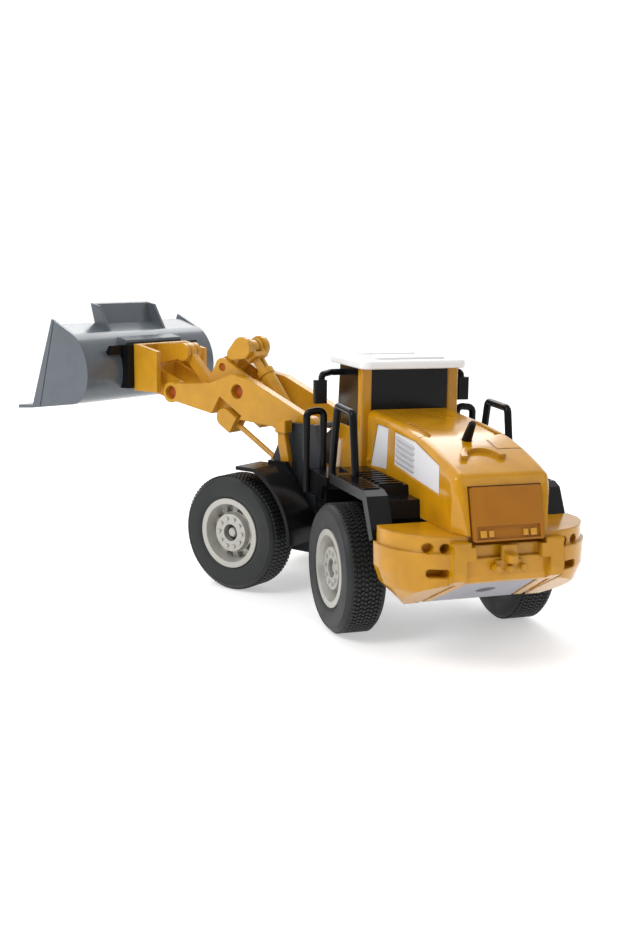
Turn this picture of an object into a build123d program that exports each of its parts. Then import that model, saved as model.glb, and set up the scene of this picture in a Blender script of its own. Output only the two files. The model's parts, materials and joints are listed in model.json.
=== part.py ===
from build123d import *
import os
from math import atan2, cos, degrees, hypot, radians, sin

# Toy wheel loader, all sizes in millimetres.
# Rear pieces are drawn with +X forward, +Y left, +Z up and the origin on the ground under the rear axle.
# Front pieces are drawn the same way, straight ahead, with the origin on the ground under the
# articulation pin. The front half is then turned to the left about that pin.

# Machine
PIN_X = 51.45
STEER_ANGLE = 35.6
FRONT_AXLE_X = 51.4
AXLE_Z = 25.0
FIT = 0.05

# Wheels
TYRE_RADIUS = 25.0
TYRE_WIDTH = 15.8
WHEEL_INNER_FACE = 27.0
RIM_SEAT_RADIUS = 14.0
RIM_FLANGE_RADIUS = 15.1
AXLE_RADIUS = 2.0
AXLE_HALF_LENGTH = 39.4
HUB_RADIUS = 8.2
HUB_RECESS_RADIUS = 3.7
HAND_HOLES = 10
WHEEL_BOLTS = 10

# Rear half
DECK_Z = 50.0
HOOD_HALF_WIDTH = 18.3
HOOD_REAR_X = -59.0
COUNTERWEIGHT_FRONT_X = -38.6
TAIL_X = -65.0
CAB_REAR_X = 24.0
CAB_FRONT_X = 56.0
CAB_HALF_WIDTH = 21.0
CAB_SILL_Z = 74.0
ROOF_Z = 98.9
FENDER_TOP_Z = 60.0
FENDER_OUTER_Y = 38.6
BOX_OUTER_Y = 30.3
PLATFORM_Z = 56.0
PLATFORM_OUTER_Y = 35.8
RAIL_RADIUS = 1.5
FENDER_THICKNESS = 1.6

# Linkage, side view of the front half as (forward, up)
ARM_PIVOT = (30.0, 69.5)
ARM_TIP = (110.0, 79.4)
ARM_ELBOW = (69.6, 82.6)
ARM_INNER_Y = 10.5
ARM_OUTER_Y = 15.0
CRANK_PIVOT = (85.0, 92.2)
CRANK_TOP = (73.5, 101.5)
CRANK_FOOT = (94.1, 79.2)
COUPLER_TOP = (112.5, 97.6)
TILT_TAIL = (48.5, 69.3)
LIFT_TAIL = (26.1, 39.4)
LIFT_HEAD = (77.5, 70.3)
LIFT_Y = 11.0
LIFT_SLACK = 0.9
LINK_SLACK = 2.2

# Bucket
BUCKET_HALF_WIDTH = 44.0
BUCKET_WALL = 1.6
HANGER_REAR_X = 131.2
HANGER_HALF_WIDTH = 21.4


def at_y(y):
    """Side-view plane at a distance y to the left: its x is forward and its y is up."""
    return Plane.XZ.offset(-y)


def between(start, end):
    """Length of the line from one side-view point to another, and its slope in degrees."""
    run = end[0] - start[0]
    rise = end[1] - start[1]
    return hypot(run, rise), degrees(atan2(rise, run))


def along(start, end, y):
    """Plane at the start point whose normal points at the end point, for drawing cylinders."""
    slope = radians(between(start, end)[1])
    return Plane(origin=(start[0], y, start[1]), x_dir=(0, 1, 0), z_dir=(cos(slope), 0, sin(slope)))


def strap(start, end, start_radius, end_radius):
    """Outline of a bar from one side-view point to another, with a round end about each."""
    length, slope = between(start, end)
    taper = degrees(atan2(end_radius - start_radius, length))
    corners = []
    for centre, radius, turn in (
        (start, start_radius, 90 + taper),
        (end, end_radius, 90 + taper),
        (end, end_radius, -90 - taper),
        (start, start_radius, -90 - taper),
    ):
        angle = radians(slope + turn)
        corners.append((centre[0] + radius * cos(angle), centre[1] + radius * sin(angle)))
    with BuildSketch(Plane.XY) as bar:
        with BuildLine():
            Polyline(*corners, close=True)
        make_face()
        with Locations(start):
            Circle(start_radius)
        with Locations(end):
            Circle(end_radius)
    return bar.sketch


rear = {}
front = {}

# ---------------------------------------------------------------- wheels and axles

with BuildPart() as tyre:
    with BuildSketch(Plane.XY):
        with BuildLine():
            Polyline(
                (RIM_SEAT_RADIUS, 1.2),
                (RIM_SEAT_RADIUS, 14.4),
                (15.3, 14.4),
                (16.8, 15.5),
                (21.0, TYRE_WIDTH),
            )
            ThreePointArc((21.0, TYRE_WIDTH), (23.7, 15.0), (TYRE_RADIUS, 12.8))
            Line((TYRE_RADIUS, 12.8), (TYRE_RADIUS, 3.0))
            ThreePointArc((TYRE_RADIUS, 3.0), (23.7, 0.8), (21.0, 0.0))
            Polyline((21.0, 0.0), (16.8, 0.3), (15.3, 1.2), (RIM_SEAT_RADIUS, 1.2))
        make_face()
    revolve(axis=Axis.Y)

with BuildPart() as rim:
    with BuildSketch(Plane.XY):
        with BuildLine():
            Polyline(
                (AXLE_RADIUS, 3.0),
                (AXLE_RADIUS, 11.4),
                (HUB_RECESS_RADIUS, 11.4),
                (HUB_RECESS_RADIUS, 14.0),
                (HUB_RADIUS, 14.0),
                (HUB_RADIUS + 0.4, 11.2),
                (11.2, 10.2),
                (12.7, 15.2),
                (RIM_FLANGE_RADIUS, 15.2),
                (RIM_FLANGE_RADIUS, 14.4),
                (RIM_SEAT_RADIUS, 14.4),
                (RIM_SEAT_RADIUS, 1.2),
                (12.6, 1.2),
                (11.0, 6.0),
                (4.0, 6.0),
                (4.0, 3.0),
                close=True,
            )
        make_face()
    revolve(axis=Axis.Y)
    with BuildSketch(Plane.XZ.offset(-12.5)):
        with PolarLocations(10.0, HAND_HOLES):
            Rectangle(2.2, 3.4)
    extrude(amount=4.0, mode=Mode.SUBTRACT)
    with BuildSketch(Plane.XZ.offset(-14.7)):
        with PolarLocations(6.2, WHEEL_BOLTS):
            Circle(0.85)
    extrude(amount=1.0)

with BuildPart() as axle:
    with BuildSketch(Plane.XZ.offset(-AXLE_HALF_LENGTH)):
        Circle(AXLE_RADIUS)
    extrude(amount=2 * AXLE_HALF_LENGTH)

left_wheel = Location((0, WHEEL_INNER_FACE, AXLE_Z))
right_wheel = Location((0, -WHEEL_INNER_FACE, AXLE_Z), (0, 0, 180))
for half, axle_x, prefix in ((rear, 0.0, "rear"), (front, FRONT_AXLE_X, "front")):
    hub_line = Location((axle_x, 0, 0))
    half[f"{prefix}_left_tyre"] = hub_line * left_wheel * tyre.part
    half[f"{prefix}_right_tyre"] = hub_line * right_wheel * tyre.part
    half[f"{prefix}_left_rim"] = hub_line * left_wheel * rim.part
    half[f"{prefix}_right_rim"] = hub_line * right_wheel * rim.part
    half[f"{prefix}_axle"] = hub_line * Location((0, 0, AXLE_Z)) * axle.part

# ---------------------------------------------------------------- rear frame

PIN_RADIUS = 3.0
TONGUE_RADIUS = 7.5
CHASSIS_HALF_WIDTH = 14.0

with BuildPart() as rear_chassis:
    with BuildSketch(at_y(CHASSIS_HALF_WIDTH)):
        with BuildLine():
            Polyline(
                (COUNTERWEIGHT_FRONT_X, 24),
                (COUNTERWEIGHT_FRONT_X, DECK_Z),
                (CAB_FRONT_X - 18, DECK_Z),
                (CAB_FRONT_X - 18, 28),
                (30, 24),
                close=True,
            )
        make_face()
    extrude(amount=2 * CHASSIS_HALF_WIDTH)
    with BuildSketch(at_y(25)):
        with Locations((0, AXLE_Z)):
            Circle(5.5)
    extrude(amount=50)
    for plate_z in (30.0, 43.0):
        with BuildSketch(Plane.XY.offset(plate_z)):
            with Locations((PIN_X, 0)):
                Circle(TONGUE_RADIUS)
            with Locations((PIN_X - 8, 0)):
                Rectangle(16, 2 * TONGUE_RADIUS)
        extrude(amount=3)
    with BuildSketch(Plane.XY.offset(25)):
        with Locations((PIN_X, 0)):
            Circle(PIN_RADIUS)
    extrude(amount=30, mode=Mode.SUBTRACT)
    with BuildSketch(at_y(30)):
        with Locations((0, AXLE_Z)):
            Circle(AXLE_RADIUS + FIT)
    extrude(amount=60, mode=Mode.SUBTRACT)
rear["rear_chassis"] = rear_chassis.part

with BuildPart() as articulation_pin:
    with BuildSketch(Plane.XY.offset(28.6)):
        with Locations((PIN_X, 0)):
            Circle(PIN_RADIUS)
    extrude(amount=17.4)
    with BuildSketch(Plane.XY.offset(46)):
        with Locations((PIN_X, 0)):
            Circle(4.6)
    extrude(amount=1.4)
    chamfer(articulation_pin.faces().sort_by(Axis.Z)[-1].edges(), 0.5)
rear["articulation_pin"] = articulation_pin.part

# Counterweight, with the sloping panel under its tail
TAIL_CORNER = (-44.0, 39.0)
SLAB_Z = 44.4
LOWER_BODY_Z = 36.0
BELLY_Z = 30.0
SIDE_TAPER = 2
LOWER_TAPER = 20
BELLY_TAPER = 45
LAMP_HOLE_RADIUS = 1.75
BLOCK_TOP_Z = 48.2
LEDGE_Z = 42.4
underside = Plane(origin=(-49.05, 0, 26.55), x_dir=(0.8865, 0, -0.4627), z_dir=(-0.4627, 0, -0.8865))
UNDERSIDE_THICKNESS = 1.5
RIB_STAND = 0.4
BELLY_STAND = 0.6

with BuildPart() as counterweight:
    with BuildSketch(Plane.XY.offset(SLAB_Z)):
        with BuildLine():
            Line((COUNTERWEIGHT_FRONT_X + 14, 0), (COUNTERWEIGHT_FRONT_X + 14, 38.6))
            Line((COUNTERWEIGHT_FRONT_X + 14, 38.6), TAIL_CORNER)
            ThreePointArc(TAIL_CORNER, (-57.8, 32.3), (-64.2, 20.0))
            Line((-64.2, 20.0), (TAIL_X - 0.4, 0))
            mirror(about=Plane.XZ)
        make_face()
    extrude(amount=LOWER_BODY_Z - SLAB_Z, taper=SIDE_TAPER)
    extrude(counterweight.faces().sort_by(Axis.Z)[0], amount=LOWER_BODY_Z - BELLY_Z, taper=LOWER_TAPER)
    extrude(counterweight.faces().sort_by(Axis.Z)[0], amount=10, taper=BELLY_TAPER)
    with BuildSketch(Plane.XY.offset(SLAB_Z)):
        with BuildLine():
            Line((COUNTERWEIGHT_FRONT_X, 0), (COUNTERWEIGHT_FRONT_X, 37.6))
            Line((COUNTERWEIGHT_FRONT_X, 37.6), (-43.6, 38.0))
            ThreePointArc((-43.6, 38.0), (-57.0, 31.6), (-63.3, 19.6))
            Line((-63.3, 19.6), (-63.7, 0))
            mirror(about=Plane.XZ)
        make_face()
    extrude(amount=DECK_Z - SLAB_Z)
    with BuildSketch(Plane.YZ.offset(COUNTERWEIGHT_FRONT_X)):
        with Locations((0, 30)):
            Rectangle(100, 60)
    extrude(amount=20, mode=Mode.SUBTRACT)
    for side in (-1, 1):
        with BuildSketch(at_y(18.2 * side + 2.6)):
            with BuildLine():
                Polyline((-60, BLOCK_TOP_Z), (-66.2, BLOCK_TOP_Z), (-67, 38), (-65.5, 33), (-60, 30), close=True)
            make_face()
        extrude(amount=5.2)
        with BuildSketch(at_y(14.2 * side + 2.0)):
            with BuildLine():
                Line((-66.65, LEDGE_Z - 0.6), (-60, LEDGE_Z - 0.6))
                Polyline((-60, LEDGE_Z - 0.6), (-60, BLOCK_TOP_Z), (-66.2, BLOCK_TOP_Z), (-66.65, LEDGE_Z - 0.6))
            make_face()
        extrude(amount=4.0)
    with BuildSketch(Plane.XY.offset(LEDGE_Z)):
        with Locations((-68.3, 0)):
            Rectangle(10, 24.4)
    extrude(amount=10, mode=Mode.SUBTRACT)
    with BuildSketch(Plane.XY.offset(46.6)):
        with Locations((-66, 0)):
            Rectangle(16, 28.2)
    extrude(amount=8, mode=Mode.SUBTRACT)
    with BuildSketch(underside.offset(BELLY_STAND)):
        Rectangle(140, 120)
    extrude(amount=60, mode=Mode.SUBTRACT)
    with BuildSketch(underside.offset(RIB_STAND)):
        Rectangle(140, 2 * 20.6)
    extrude(amount=20, mode=Mode.SUBTRACT)
    for side in (-1, 1):
        with BuildSketch(underside.offset(-1.2)):
            with BuildLine():
                Polyline((-13.4, side * 17.2), (30, side * 21.6), (30, side * 23.4))
                Polyline((30, side * 23.4), (-13.4, side * 18.6), (-13.4, side * 17.2))
            make_face()
        extrude(amount=10, mode=Mode.SUBTRACT)
    with BuildSketch(underside.offset(-UNDERSIDE_THICKNESS)):
        with BuildLine():
            Polyline((-14.2, 13.5), (30, 18.8), (30, -18.8), (-14.2, -13.5), close=True)
        make_face()
    extrude(amount=10, mode=Mode.SUBTRACT)
    with BuildSketch(Plane.XY.offset(20)):
        Rectangle(200, 120)
    extrude(amount=-20, mode=Mode.SUBTRACT)
    with BuildSketch(Plane.YZ.offset(-70)):
        with Locations((-27.4, 45.9), (-22.2, 45.9), (22.2, 45.9), (27.4, 45.9)):
            Circle(LAMP_HOLE_RADIUS)
        with Locations((-24.4, 37.4), (24.4, 37.4)):
            RectangleRounded(7.4, 3.0, 1.2)
    extrude(amount=13, mode=Mode.SUBTRACT)
    with BuildSketch(underside):
        Circle(3.4)
    extrude(amount=-7, mode=Mode.SUBTRACT)
rear["counterweight"] = counterweight.part

with BuildPart() as underside_plate:
    with BuildSketch(underside):
        with BuildLine():
            Polyline((-13.9, 13.2), (14.1, 16.6), (14.1, -16.6), (-13.9, -13.2), close=True)
        make_face()
        Circle(3.6, mode=Mode.SUBTRACT)
    extrude(amount=-UNDERSIDE_THICKNESS)
rear["underside_plate"] = underside_plate.part

with BuildPart() as underside_screw:
    with BuildSketch(underside.offset(-7)):
        Circle(2.9)
    extrude(amount=2.2)
    with BuildSketch(underside.offset(-4.8)):
        Rectangle(4.2, 0.8)
        Rectangle(0.8, 4.2)
    extrude(amount=-1.0, mode=Mode.SUBTRACT)
rear["underside_screw"] = underside_screw.part

HITCH_HOLE_RADIUS = 1.0
HITCH_X = -68.6
KNOBS = ((-4.9, 39.0), (0, 38.6), (4.9, 39.0))
with BuildPart() as tow_hitch:
    with BuildSketch(Plane.YZ.offset(-65.3)):
        with Locations((0, 43.6)):
            Rectangle(5.8, 6.4)
        with Locations((0, 40.2)):
            Rectangle(9.8, 2.8)
        with Locations(*KNOBS):
            Circle(1.4)
    extrude(amount=-1.2)
    with BuildSketch(Plane.YZ.offset(-66.4)):
        with Locations(*KNOBS):
            Circle(1.4)
    extrude(amount=-1.8)
    with BuildSketch(Plane.XY.offset(41.2)):
        with Locations((-67.3, 0)):
            Rectangle(2.6, 4.0)
        with Locations((HITCH_X, 0)):
            Circle(2.0)
    extrude(amount=2.8)
    with BuildSketch(Plane.XY.offset(40.2)):
        with Locations((HITCH_X, 0)):
            Circle(HITCH_HOLE_RADIUS)
    extrude(amount=8, mode=Mode.SUBTRACT)
rear["tow_hitch"] = tow_hitch.part

# Engine hood with its rear door, side panels, air scoop and exhaust
HOOD_TOP = ((CAB_REAR_X, 82.4), (-8, 80.6), (-30, 78.2), (-46, 74.4), (HOOD_REAR_X, 69.8))
PANEL_DEPTH = 0.8
EXHAUST_RADIUS = 1.8
CREST_RADIUS = 3.2
SCOOP_RADIUS = 8.4
SCOOP_THICKNESS = 2.4
exhaust_line = Plane(origin=(-32.3, 1.2, 77.7), x_dir=(0, 1, 0), z_dir=(-0.566, 0, 0.824))
rear_slope = Plane(origin=(-49.3, 2.6, 73.2), x_dir=(0.961, 0, 0.277), z_dir=(-0.277, 0, 0.961))

with BuildPart() as engine_hood:
    with BuildSketch(at_y(HOOD_HALF_WIDTH)):
        with BuildLine():
            Line((-33, DECK_Z), (CAB_REAR_X, DECK_Z))
            Line((CAB_REAR_X, DECK_Z), HOOD_TOP[0])
            Spline(*HOOD_TOP)
            Polyline(HOOD_TOP[-1], (-60.2, 66.4), (-64.4, DECK_Z), (-33, DECK_Z))
        make_face()
    extrude(amount=2 * HOOD_HALF_WIDTH)
    shoulder = engine_hood.edges().filter_by(GeomType.BSPLINE)
    fillet(shoulder, 3.2)
    with BuildSketch(Plane.XY.offset(DECK_Z)):
        with BuildLine():
            Line((CAB_REAR_X, 0), (CAB_REAR_X, HOOD_HALF_WIDTH))
            Polyline((CAB_REAR_X, HOOD_HALF_WIDTH), (-58.4, HOOD_HALF_WIDTH), (-67, 13.0), (-67, 0))
            mirror(about=Plane.XZ)
        make_face()
    extrude(amount=40, mode=Mode.INTERSECT)
    crest = engine_hood.edges().filter_by(Axis.Y).sort_by_distance((HOOD_TOP[-1][0], 0, HOOD_TOP[-1][1]))[0]
    fillet(crest, CREST_RADIUS)
    with BuildSketch(at_y(HOOD_HALF_WIDTH)) as large_panel_outline:
        with BuildLine():
            Polyline((-5.2, 65.2), (-5.4, 77.6), (-25.5, 76.6), (-47.2, 71.4))
            Polyline((-47.2, 71.4), (-47.6, 61.4), (-28, 63.0), (-5.2, 65.2))
        make_face()
    extrude(amount=PANEL_DEPTH, mode=Mode.SUBTRACT)
    with BuildSketch(at_y(HOOD_HALF_WIDTH)) as small_panel_outline:
        with BuildLine():
            Polyline((19.6, 60.8), (12.4, 78.2), (0.8, 78.0), (2.4, 62.0), close=True)
        make_face()
    extrude(amount=PANEL_DEPTH, mode=Mode.SUBTRACT)
    with BuildSketch(at_y(-HOOD_HALF_WIDTH + PANEL_DEPTH)):
        add(large_panel_outline.sketch_local)
        add(small_panel_outline.sketch_local)
    extrude(amount=PANEL_DEPTH, mode=Mode.SUBTRACT)
    with BuildSketch(rear_slope.offset(-1.5)):
        Ellipse(SCOOP_RADIUS, SCOOP_RADIUS)
        Ellipse(SCOOP_RADIUS - SCOOP_THICKNESS, SCOOP_RADIUS - SCOOP_THICKNESS, mode=Mode.SUBTRACT)
        with Locations((-SCOOP_RADIUS, 0)):
            Rectangle(2 * SCOOP_RADIUS, 3 * SCOOP_RADIUS, mode=Mode.SUBTRACT)
    extrude(amount=3.3)
    for slot_y in (-9.6, -7.4, -5.2, -3.0, -0.8, 1.4, 3.6, 5.8, 8.0):
        with BuildSketch(at_y(slot_y + 0.25)):
            with BuildLine():
                Polyline((4, 80.7), (22.4, 81.5), (22.4, 84), (4, 84), close=True)
            make_face()
        extrude(amount=0.5, mode=Mode.SUBTRACT)
    with BuildSketch(rear_slope.offset(-0.4)):
        with Locations((12.2, -9.0)):
            Rectangle(8.6, 0.5)
        with Locations((7.9, -14.2)):
            Rectangle(0.5, 10.9)
    extrude(amount=6, mode=Mode.SUBTRACT)
    with BuildSketch(exhaust_line.offset(-3)):
        Circle(EXHAUST_RADIUS + FIT)
    extrude(amount=12, mode=Mode.SUBTRACT)
rear["engine_hood"] = engine_hood.part

for outline, name in ((large_panel_outline, "grille_panel"), (small_panel_outline, "vent_panel")):
    with BuildPart() as panel:
        with BuildSketch(at_y(HOOD_HALF_WIDTH - 0.3)):
            add(outline.sketch_local)
        extrude(amount=PANEL_DEPTH - 0.3)
    rear[f"left_{name}"] = panel.part

door_plane = Plane(origin=(-62.35, 0, 58.2), x_dir=(0, -1, 0), z_dir=(-0.9686, 0, 0.2487))
with BuildPart() as rear_door:
    with BuildSketch(door_plane):
        with Locations((0, -1.3)):
            RectangleRounded(26.6, 18.6, 1.0)
    extrude(amount=1.2)
    with BuildSketch(door_plane.offset(1.2)):
        with Locations((0, -7.6)):
            Rectangle(23.6, 4.4)
    extrude(amount=-0.8, mode=Mode.SUBTRACT)
rear["rear_door"] = rear_door.part

with BuildPart() as exhaust_pipe:
    with BuildSketch(exhaust_line.offset(-3)):
        Circle(EXHAUST_RADIUS)
    extrude(amount=4)
    with BuildSketch(exhaust_line.offset(1)):
        Circle(EXHAUST_RADIUS)
    extrude(amount=7.4, taper=4)
    fillet(exhaust_pipe.faces().sort_by(Axis.Z)[-1].edges(), 0.6)
rear["exhaust_pipe"] = exhaust_pipe.part

# Cab
PILLAR = 4.6
with BuildPart() as cab_body:
    with BuildSketch(at_y(CAB_HALF_WIDTH)):
        with BuildLine():
            Polyline(
                (CAB_REAR_X, DECK_Z),
                (CAB_REAR_X, CAB_SILL_Z),
                (CAB_FRONT_X - 1.2, CAB_SILL_Z),
                (CAB_FRONT_X, 68),
                (CAB_FRONT_X - 4, DECK_Z),
                close=True,
            )
        make_face()
    extrude(amount=2 * CAB_HALF_WIDTH)
    fillet(cab_body.edges().filter_by(Axis.Z), 1.0)
    with BuildSketch(Plane.XY.offset(DECK_Z)):
        for side in (-1, 1):
            with Locations((CAB_REAR_X + PILLAR / 2, side * (CAB_HALF_WIDTH - PILLAR / 2))):
                RectangleRounded(PILLAR, PILLAR, 0.9)
    extrude(amount=ROOF_Z - DECK_Z)
rear["cab_body"] = cab_body.part

GLASS_HALF_WIDTH = CAB_HALF_WIDTH - 0.6
with BuildPart() as cab_windows:
    with BuildSketch(at_y(GLASS_HALF_WIDTH)):
        with BuildLine():
            Polyline(
                (CAB_REAR_X + 0.8, CAB_SILL_Z),
                (CAB_REAR_X + 0.8, ROOF_Z),
                (CAB_FRONT_X - 4.4, ROOF_Z),
                (CAB_FRONT_X - 1.4, CAB_SILL_Z),
                close=True,
            )
        make_face()
    extrude(amount=2 * GLASS_HALF_WIDTH)
    with BuildSketch(Plane.XY.offset(CAB_SILL_Z)):
        for side in (-1, 1):
            with Locations((CAB_REAR_X + PILLAR / 2, side * (CAB_HALF_WIDTH - PILLAR / 2))):
                Rectangle(PILLAR, PILLAR)
    extrude(amount=40, mode=Mode.SUBTRACT)
rear["cab_windows"] = cab_windows.part

with BuildPart() as cab_roof:
    with BuildSketch(Plane.XY.offset(ROOF_Z)):
        with Locations((39.6, 0)):
            RectangleRounded(42.2, 45.2, 4.0)
    extrude(amount=3.4)
    fillet(cab_roof.faces().sort_by(Axis.Z)[-1].edges(), 1.2)
    fillet(cab_roof.faces().sort_by(Axis.Z)[0].edges(), 0.6)
    with BuildSketch(Plane.XY.offset(ROOF_Z + 3.2)):
        with Locations((32, 0)):
            RectangleRounded(16, 30, 2.0)
        with Locations((52, 0)):
            RectangleRounded(9, 24, 2.0)
    extrude(amount=1.0)
rear["cab_roof"] = cab_roof.part

MIRROR_X = 43.5
MIRROR_Y = 31.8
with BuildPart() as left_mirror:
    with BuildLine() as mirror_arm:
        FilletPolyline(
            (49.0, GLASS_HALF_WIDTH, 95.4),
            (49.0, 25.4, 95.4),
            (MIRROR_X, MIRROR_Y - 0.6, 95.0),
            (MIRROR_X, MIRROR_Y - 0.6, 90.0),
            radius=1.8,
        )
    with BuildSketch(Plane(origin=mirror_arm.line @ 0, z_dir=mirror_arm.line % 0)):
        Circle(1.35)
    sweep()
    with BuildSketch(Plane.XY.offset(83.2)):
        with Locations((MIRROR_X, MIRROR_Y)):
            RectangleRounded(3.2, 5.4, 0.8)
    extrude(amount=9.6)
rear["left_mirror"] = left_mirror.part

# Platforms, fenders and rails beside the cab
with BuildPart() as left_step_box:
    with BuildSketch(at_y(BOX_OUTER_Y)):
        with BuildLine():
            Polyline(
                (22.5, FENDER_TOP_Z),
                (-20, FENDER_TOP_Z),
                (-20.6, 56.6),
                (-31, 56.6),
                (-31.8, DECK_Z),
                (-26.5, DECK_Z),
                (-22, 52.4),
                (22.5, 52.4),
                close=True,
            )
        make_face()
    extrude(amount=BOX_OUTER_Y - HOOD_HALF_WIDTH)
    with BuildSketch(Plane.XY.offset(FENDER_TOP_Z)):
        with GridLocations(4.2, 0, 7, 1):
            with Locations((-5, 24.4)):
                Rectangle(1.6, 9.0)
    extrude(amount=0.6)
rear["left_step_box"] = left_step_box.part

with BuildPart() as left_rear_fender:
    with BuildSketch(at_y(FENDER_OUTER_Y)):
        with BuildLine():
            Polyline(
                (10, FENDER_TOP_Z),
                (-26.5, FENDER_TOP_Z),
                (-30.4, 58.4),
                (-37.4, 44.6),
                (-35.8, 43.8),
                (-29.2, 57.2),
                (-26.0, FENDER_TOP_Z - FENDER_THICKNESS),
                (10, FENDER_TOP_Z - FENDER_THICKNESS),
                close=True,
            )
        make_face()
    extrude(amount=FENDER_OUTER_Y - BOX_OUTER_Y)
    with BuildSketch(at_y(FENDER_OUTER_Y)):
        with BuildLine():
            Polyline(
                (10, FENDER_TOP_Z),
                (-26.5, FENDER_TOP_Z),
                (-30.4, 58.4),
                (-37.4, 44.6),
                (-34.2, 43.2),
                (-26.4, 56.2),
                (10, 56.2),
                close=True,
            )
        make_face()
    extrude(amount=1.0)
    with BuildSketch(Plane.XY.offset(FENDER_TOP_Z)):
        with GridLocations(3.0, 0, 10, 1):
            with Locations((-10.5, (FENDER_OUTER_Y + BOX_OUTER_Y) / 2)):
                Rectangle(1.2, 6.2)
    extrude(amount=0.4)
rear["left_rear_fender"] = left_rear_fender.part

with BuildPart() as left_side_tank:
    with BuildSketch(at_y(PLATFORM_OUTER_Y)):
        with BuildLine():
            Polyline((22.6, 52.4), (22.6, PLATFORM_Z), (46, PLATFORM_Z))
            Polyline((46, PLATFORM_Z), (46, 46), (30, 46), (27.5, 52.4), (22.6, 52.4))
        make_face()
    extrude(amount=PLATFORM_OUTER_Y - CAB_HALF_WIDTH)
    with BuildSketch(at_y(34)):
        with BuildLine():
            Polyline((28.5, 24), (28.5, 50), (42, 50), (42, 22), (31, 21), close=True)
        make_face()
    extrude(amount=34 - CHASSIS_HALF_WIDTH)
    with BuildSketch(at_y(34.01)):
        with Locations((35.2, 38), (35.2, 29)):
            Rectangle(10.5, 4.6)
    extrude(amount=5, mode=Mode.SUBTRACT)
    with BuildSketch(at_y(CAB_HALF_WIDTH)):
        with Locations((40, 60)):
            Rectangle(60, 20 + 0.001)
    extrude(amount=30, mode=Mode.SUBTRACT)
rear["left_side_tank"] = left_side_tank.part

RAIL_X = 44.0
with BuildPart() as left_front_rail:
    with BuildLine() as front_rail_path:
        FilletPolyline(
            (RAIL_X, PLATFORM_OUTER_Y + RAIL_RADIUS, 46.5),
            (RAIL_X, PLATFORM_OUTER_Y + RAIL_RADIUS, 79.6),
            (RAIL_X, 30.0, 80.4),
            (RAIL_X, 30.0, PLATFORM_Z),
            radius=2.4,
        )
    with BuildSketch(Plane(origin=front_rail_path.line @ 0, z_dir=front_rail_path.line % 0)):
        Circle(RAIL_RADIUS)
    sweep()
rear["left_front_rail"] = left_front_rail.part

RAIL_Y = 32.4
with BuildPart() as left_rear_rail:
    with BuildLine() as rear_rail_path:
        FilletPolyline(
            (25.4, RAIL_Y, PLATFORM_Z),
            (25.4, RAIL_Y, 58.5),
            (19.4, RAIL_Y, 85.0),
            (2.0, RAIL_Y, 84.2),
            (-1.6, RAIL_Y, 62.5),
            (-1.6, RAIL_Y, FENDER_TOP_Z + 0.4),
            radius=2.2,
        )
    with BuildSketch(Plane(origin=rear_rail_path.line @ 0, z_dir=rear_rail_path.line % 0)):
        Circle(RAIL_RADIUS)
    sweep()
rear["left_rear_rail"] = left_rear_rail.part

# ---------------------------------------------------------------- front frame

TOWER_INNER_Y = 15.8
TOWER_OUTER_Y = 18.8
PIVOT_RADIUS = 1.3
TOWER_TOP_Z = 71.8
COLUMN_HALF_WIDTH = 7.2
FRONT_DECK_Z = 35.0
with BuildPart() as front_chassis:
    with BuildSketch(at_y(TOWER_OUTER_Y)):
        with BuildLine():
            Polyline((12, 20), (12, FRONT_DECK_Z), (45, FRONT_DECK_Z), (45, 18))
            Polyline((45, 18), (40, 16), (20, 16), (12, 20))
        make_face()
    extrude(amount=2 * TOWER_OUTER_Y)
    with BuildSketch(at_y(COLUMN_HALF_WIDTH)):
        with BuildLine():
            Polyline((12, 30), (12, 46), (38, 46), (44, 37), (66, 37))
            Polyline((66, 37), (66, 21), (61, 16), (40, 16), (12, 30))
        make_face()
    extrude(amount=2 * COLUMN_HALF_WIDTH)
    with BuildSketch(at_y(25)):
        with Locations((FRONT_AXLE_X, AXLE_Z)):
            Circle(5.5)
    extrude(amount=50)
    with BuildSketch(Plane.XY.offset(33.3)):
        Circle(TONGUE_RADIUS)
        with Locations((7, 0)):
            Rectangle(14, 2 * TONGUE_RADIUS)
    extrude(amount=9.4)
    with BuildSketch(Plane.XY.offset(30)):
        Circle(PIN_RADIUS + FIT)
    extrude(amount=16, mode=Mode.SUBTRACT)
    with BuildSketch(at_y(30)):
        with Locations((FRONT_AXLE_X, AXLE_Z)):
            Circle(AXLE_RADIUS + FIT)
    extrude(amount=60, mode=Mode.SUBTRACT)
    with BuildSketch(at_y(TOWER_INNER_Y)):
        with Locations(LIFT_TAIL):
            Circle(2.0)
    extrude(amount=2 * TOWER_INNER_Y)
front["front_chassis"] = front_chassis.part

with BuildPart() as front_tower:
    with BuildSketch(at_y(TOWER_OUTER_Y)):
        with BuildLine():
            Polyline((15, FRONT_DECK_Z), (22.9, TOWER_TOP_Z), (37.6, TOWER_TOP_Z), (38.6, 66.0))
            Polyline((38.6, 66.0), (43.0, 62.0), (48.5, 50), (45, FRONT_DECK_Z), (15, FRONT_DECK_Z))
        make_face()
    extrude(amount=2 * TOWER_OUTER_Y)
    with BuildSketch(at_y(TOWER_INNER_Y)):
        with BuildLine():
            Polyline((18.8, FRONT_DECK_Z), (18.8, 48), (14, 48), (14, 90), (60, 90))
            Polyline((60, 90), (60, FRONT_DECK_Z), (18.8, FRONT_DECK_Z))
        make_face()
    extrude(amount=2 * TOWER_INNER_Y, mode=Mode.SUBTRACT)
    with BuildSketch(at_y(COLUMN_HALF_WIDTH)):
        with Locations((20, 40)):
            Rectangle(16, 12)
    extrude(amount=2 * COLUMN_HALF_WIDTH, mode=Mode.SUBTRACT)
    with BuildSketch(at_y(20)):
        with Locations(ARM_PIVOT):
            Circle(PIVOT_RADIUS)
    extrude(amount=40, mode=Mode.SUBTRACT)
front["front_tower"] = front_tower.part

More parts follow.
